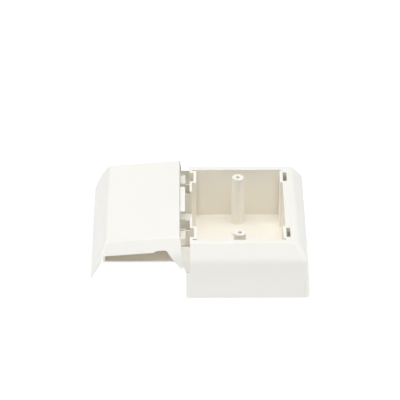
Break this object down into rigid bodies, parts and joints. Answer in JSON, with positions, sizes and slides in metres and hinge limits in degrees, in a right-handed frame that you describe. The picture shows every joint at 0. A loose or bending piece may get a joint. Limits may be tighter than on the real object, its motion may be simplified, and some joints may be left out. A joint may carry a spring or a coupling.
{
  "type": "fibre outlet box",
  "caption": "Deep wall outlet box for fibre cable raceway, with a sliding bridge tray that holds slack fibre and splices, and a hinged bridge cover.",
  "frame": {"origin": "middle of the bounding box's underside, where the deep box rests on its fixing surface", "axes": "+X across from the bridge cover to the deep box, +Y along the raceway towards the back, +Z out of the fixing surface"},
  "size_m": [0.1732, 0.1352, 0.0514],
  "materials": {
    "ivory_abs": "off-white moulded ABS, fine matte",
    "natural_nylon": "natural white nylon, satin",
    "zinc_steel": "bright zinc plate",
    "white_foam": "white closed-cell foam tape",
    "shrink_sleeve": "translucent heat-shrink tube"
  },
  "bodies": {
    "box": {"device_box": "ivory_abs", "floor_plug_front": "ivory_abs", "floor_plug_back": "ivory_abs", "foam_strip_left": "white_foam", "foam_strip_right": "white_foam"},
    "tray": {"bridge_tray": "ivory_abs", "hinge_pin_front": "natural_nylon", "hinge_pin_back": "natural_nylon", "slack_guide_front": "natural_nylon", "slack_guide_back": "natural_nylon", "guide_screw_front": "zinc_steel", "guide_screw_back": "zinc_steel", "splice_holder": "natural_nylon", "holder_tape": "white_foam", "splice_sleeve_1": "shrink_sleeve", "splice_sleeve_2": "shrink_sleeve", "splice_sleeve_3": "shrink_sleeve", "splice_sleeve_4": "shrink_sleeve", "fibre_clip_outer_front": "natural_nylon", "fibre_clip_outer_back": "natural_nylon", "fibre_clip_inner_front": "natural_nylon", "fibre_clip_inner_back": "natural_nylon"},
    "cover": {"bridge_cover": "ivory_abs"}
  },
  "joints": [
    {"name": "tray_slide", "type": "slide", "parent": "box", "child": "tray", "axis": [1, 0, 0], "range_m": [0, 0.0047]},
    {"name": "cover_hinge", "type": "hinge", "parent": "tray", "child": "cover", "pos_m": [-0.07977, 0, 0.0236], "axis": [0, -1, 0], "range_deg": [-4.5, 95]}
  ]
}
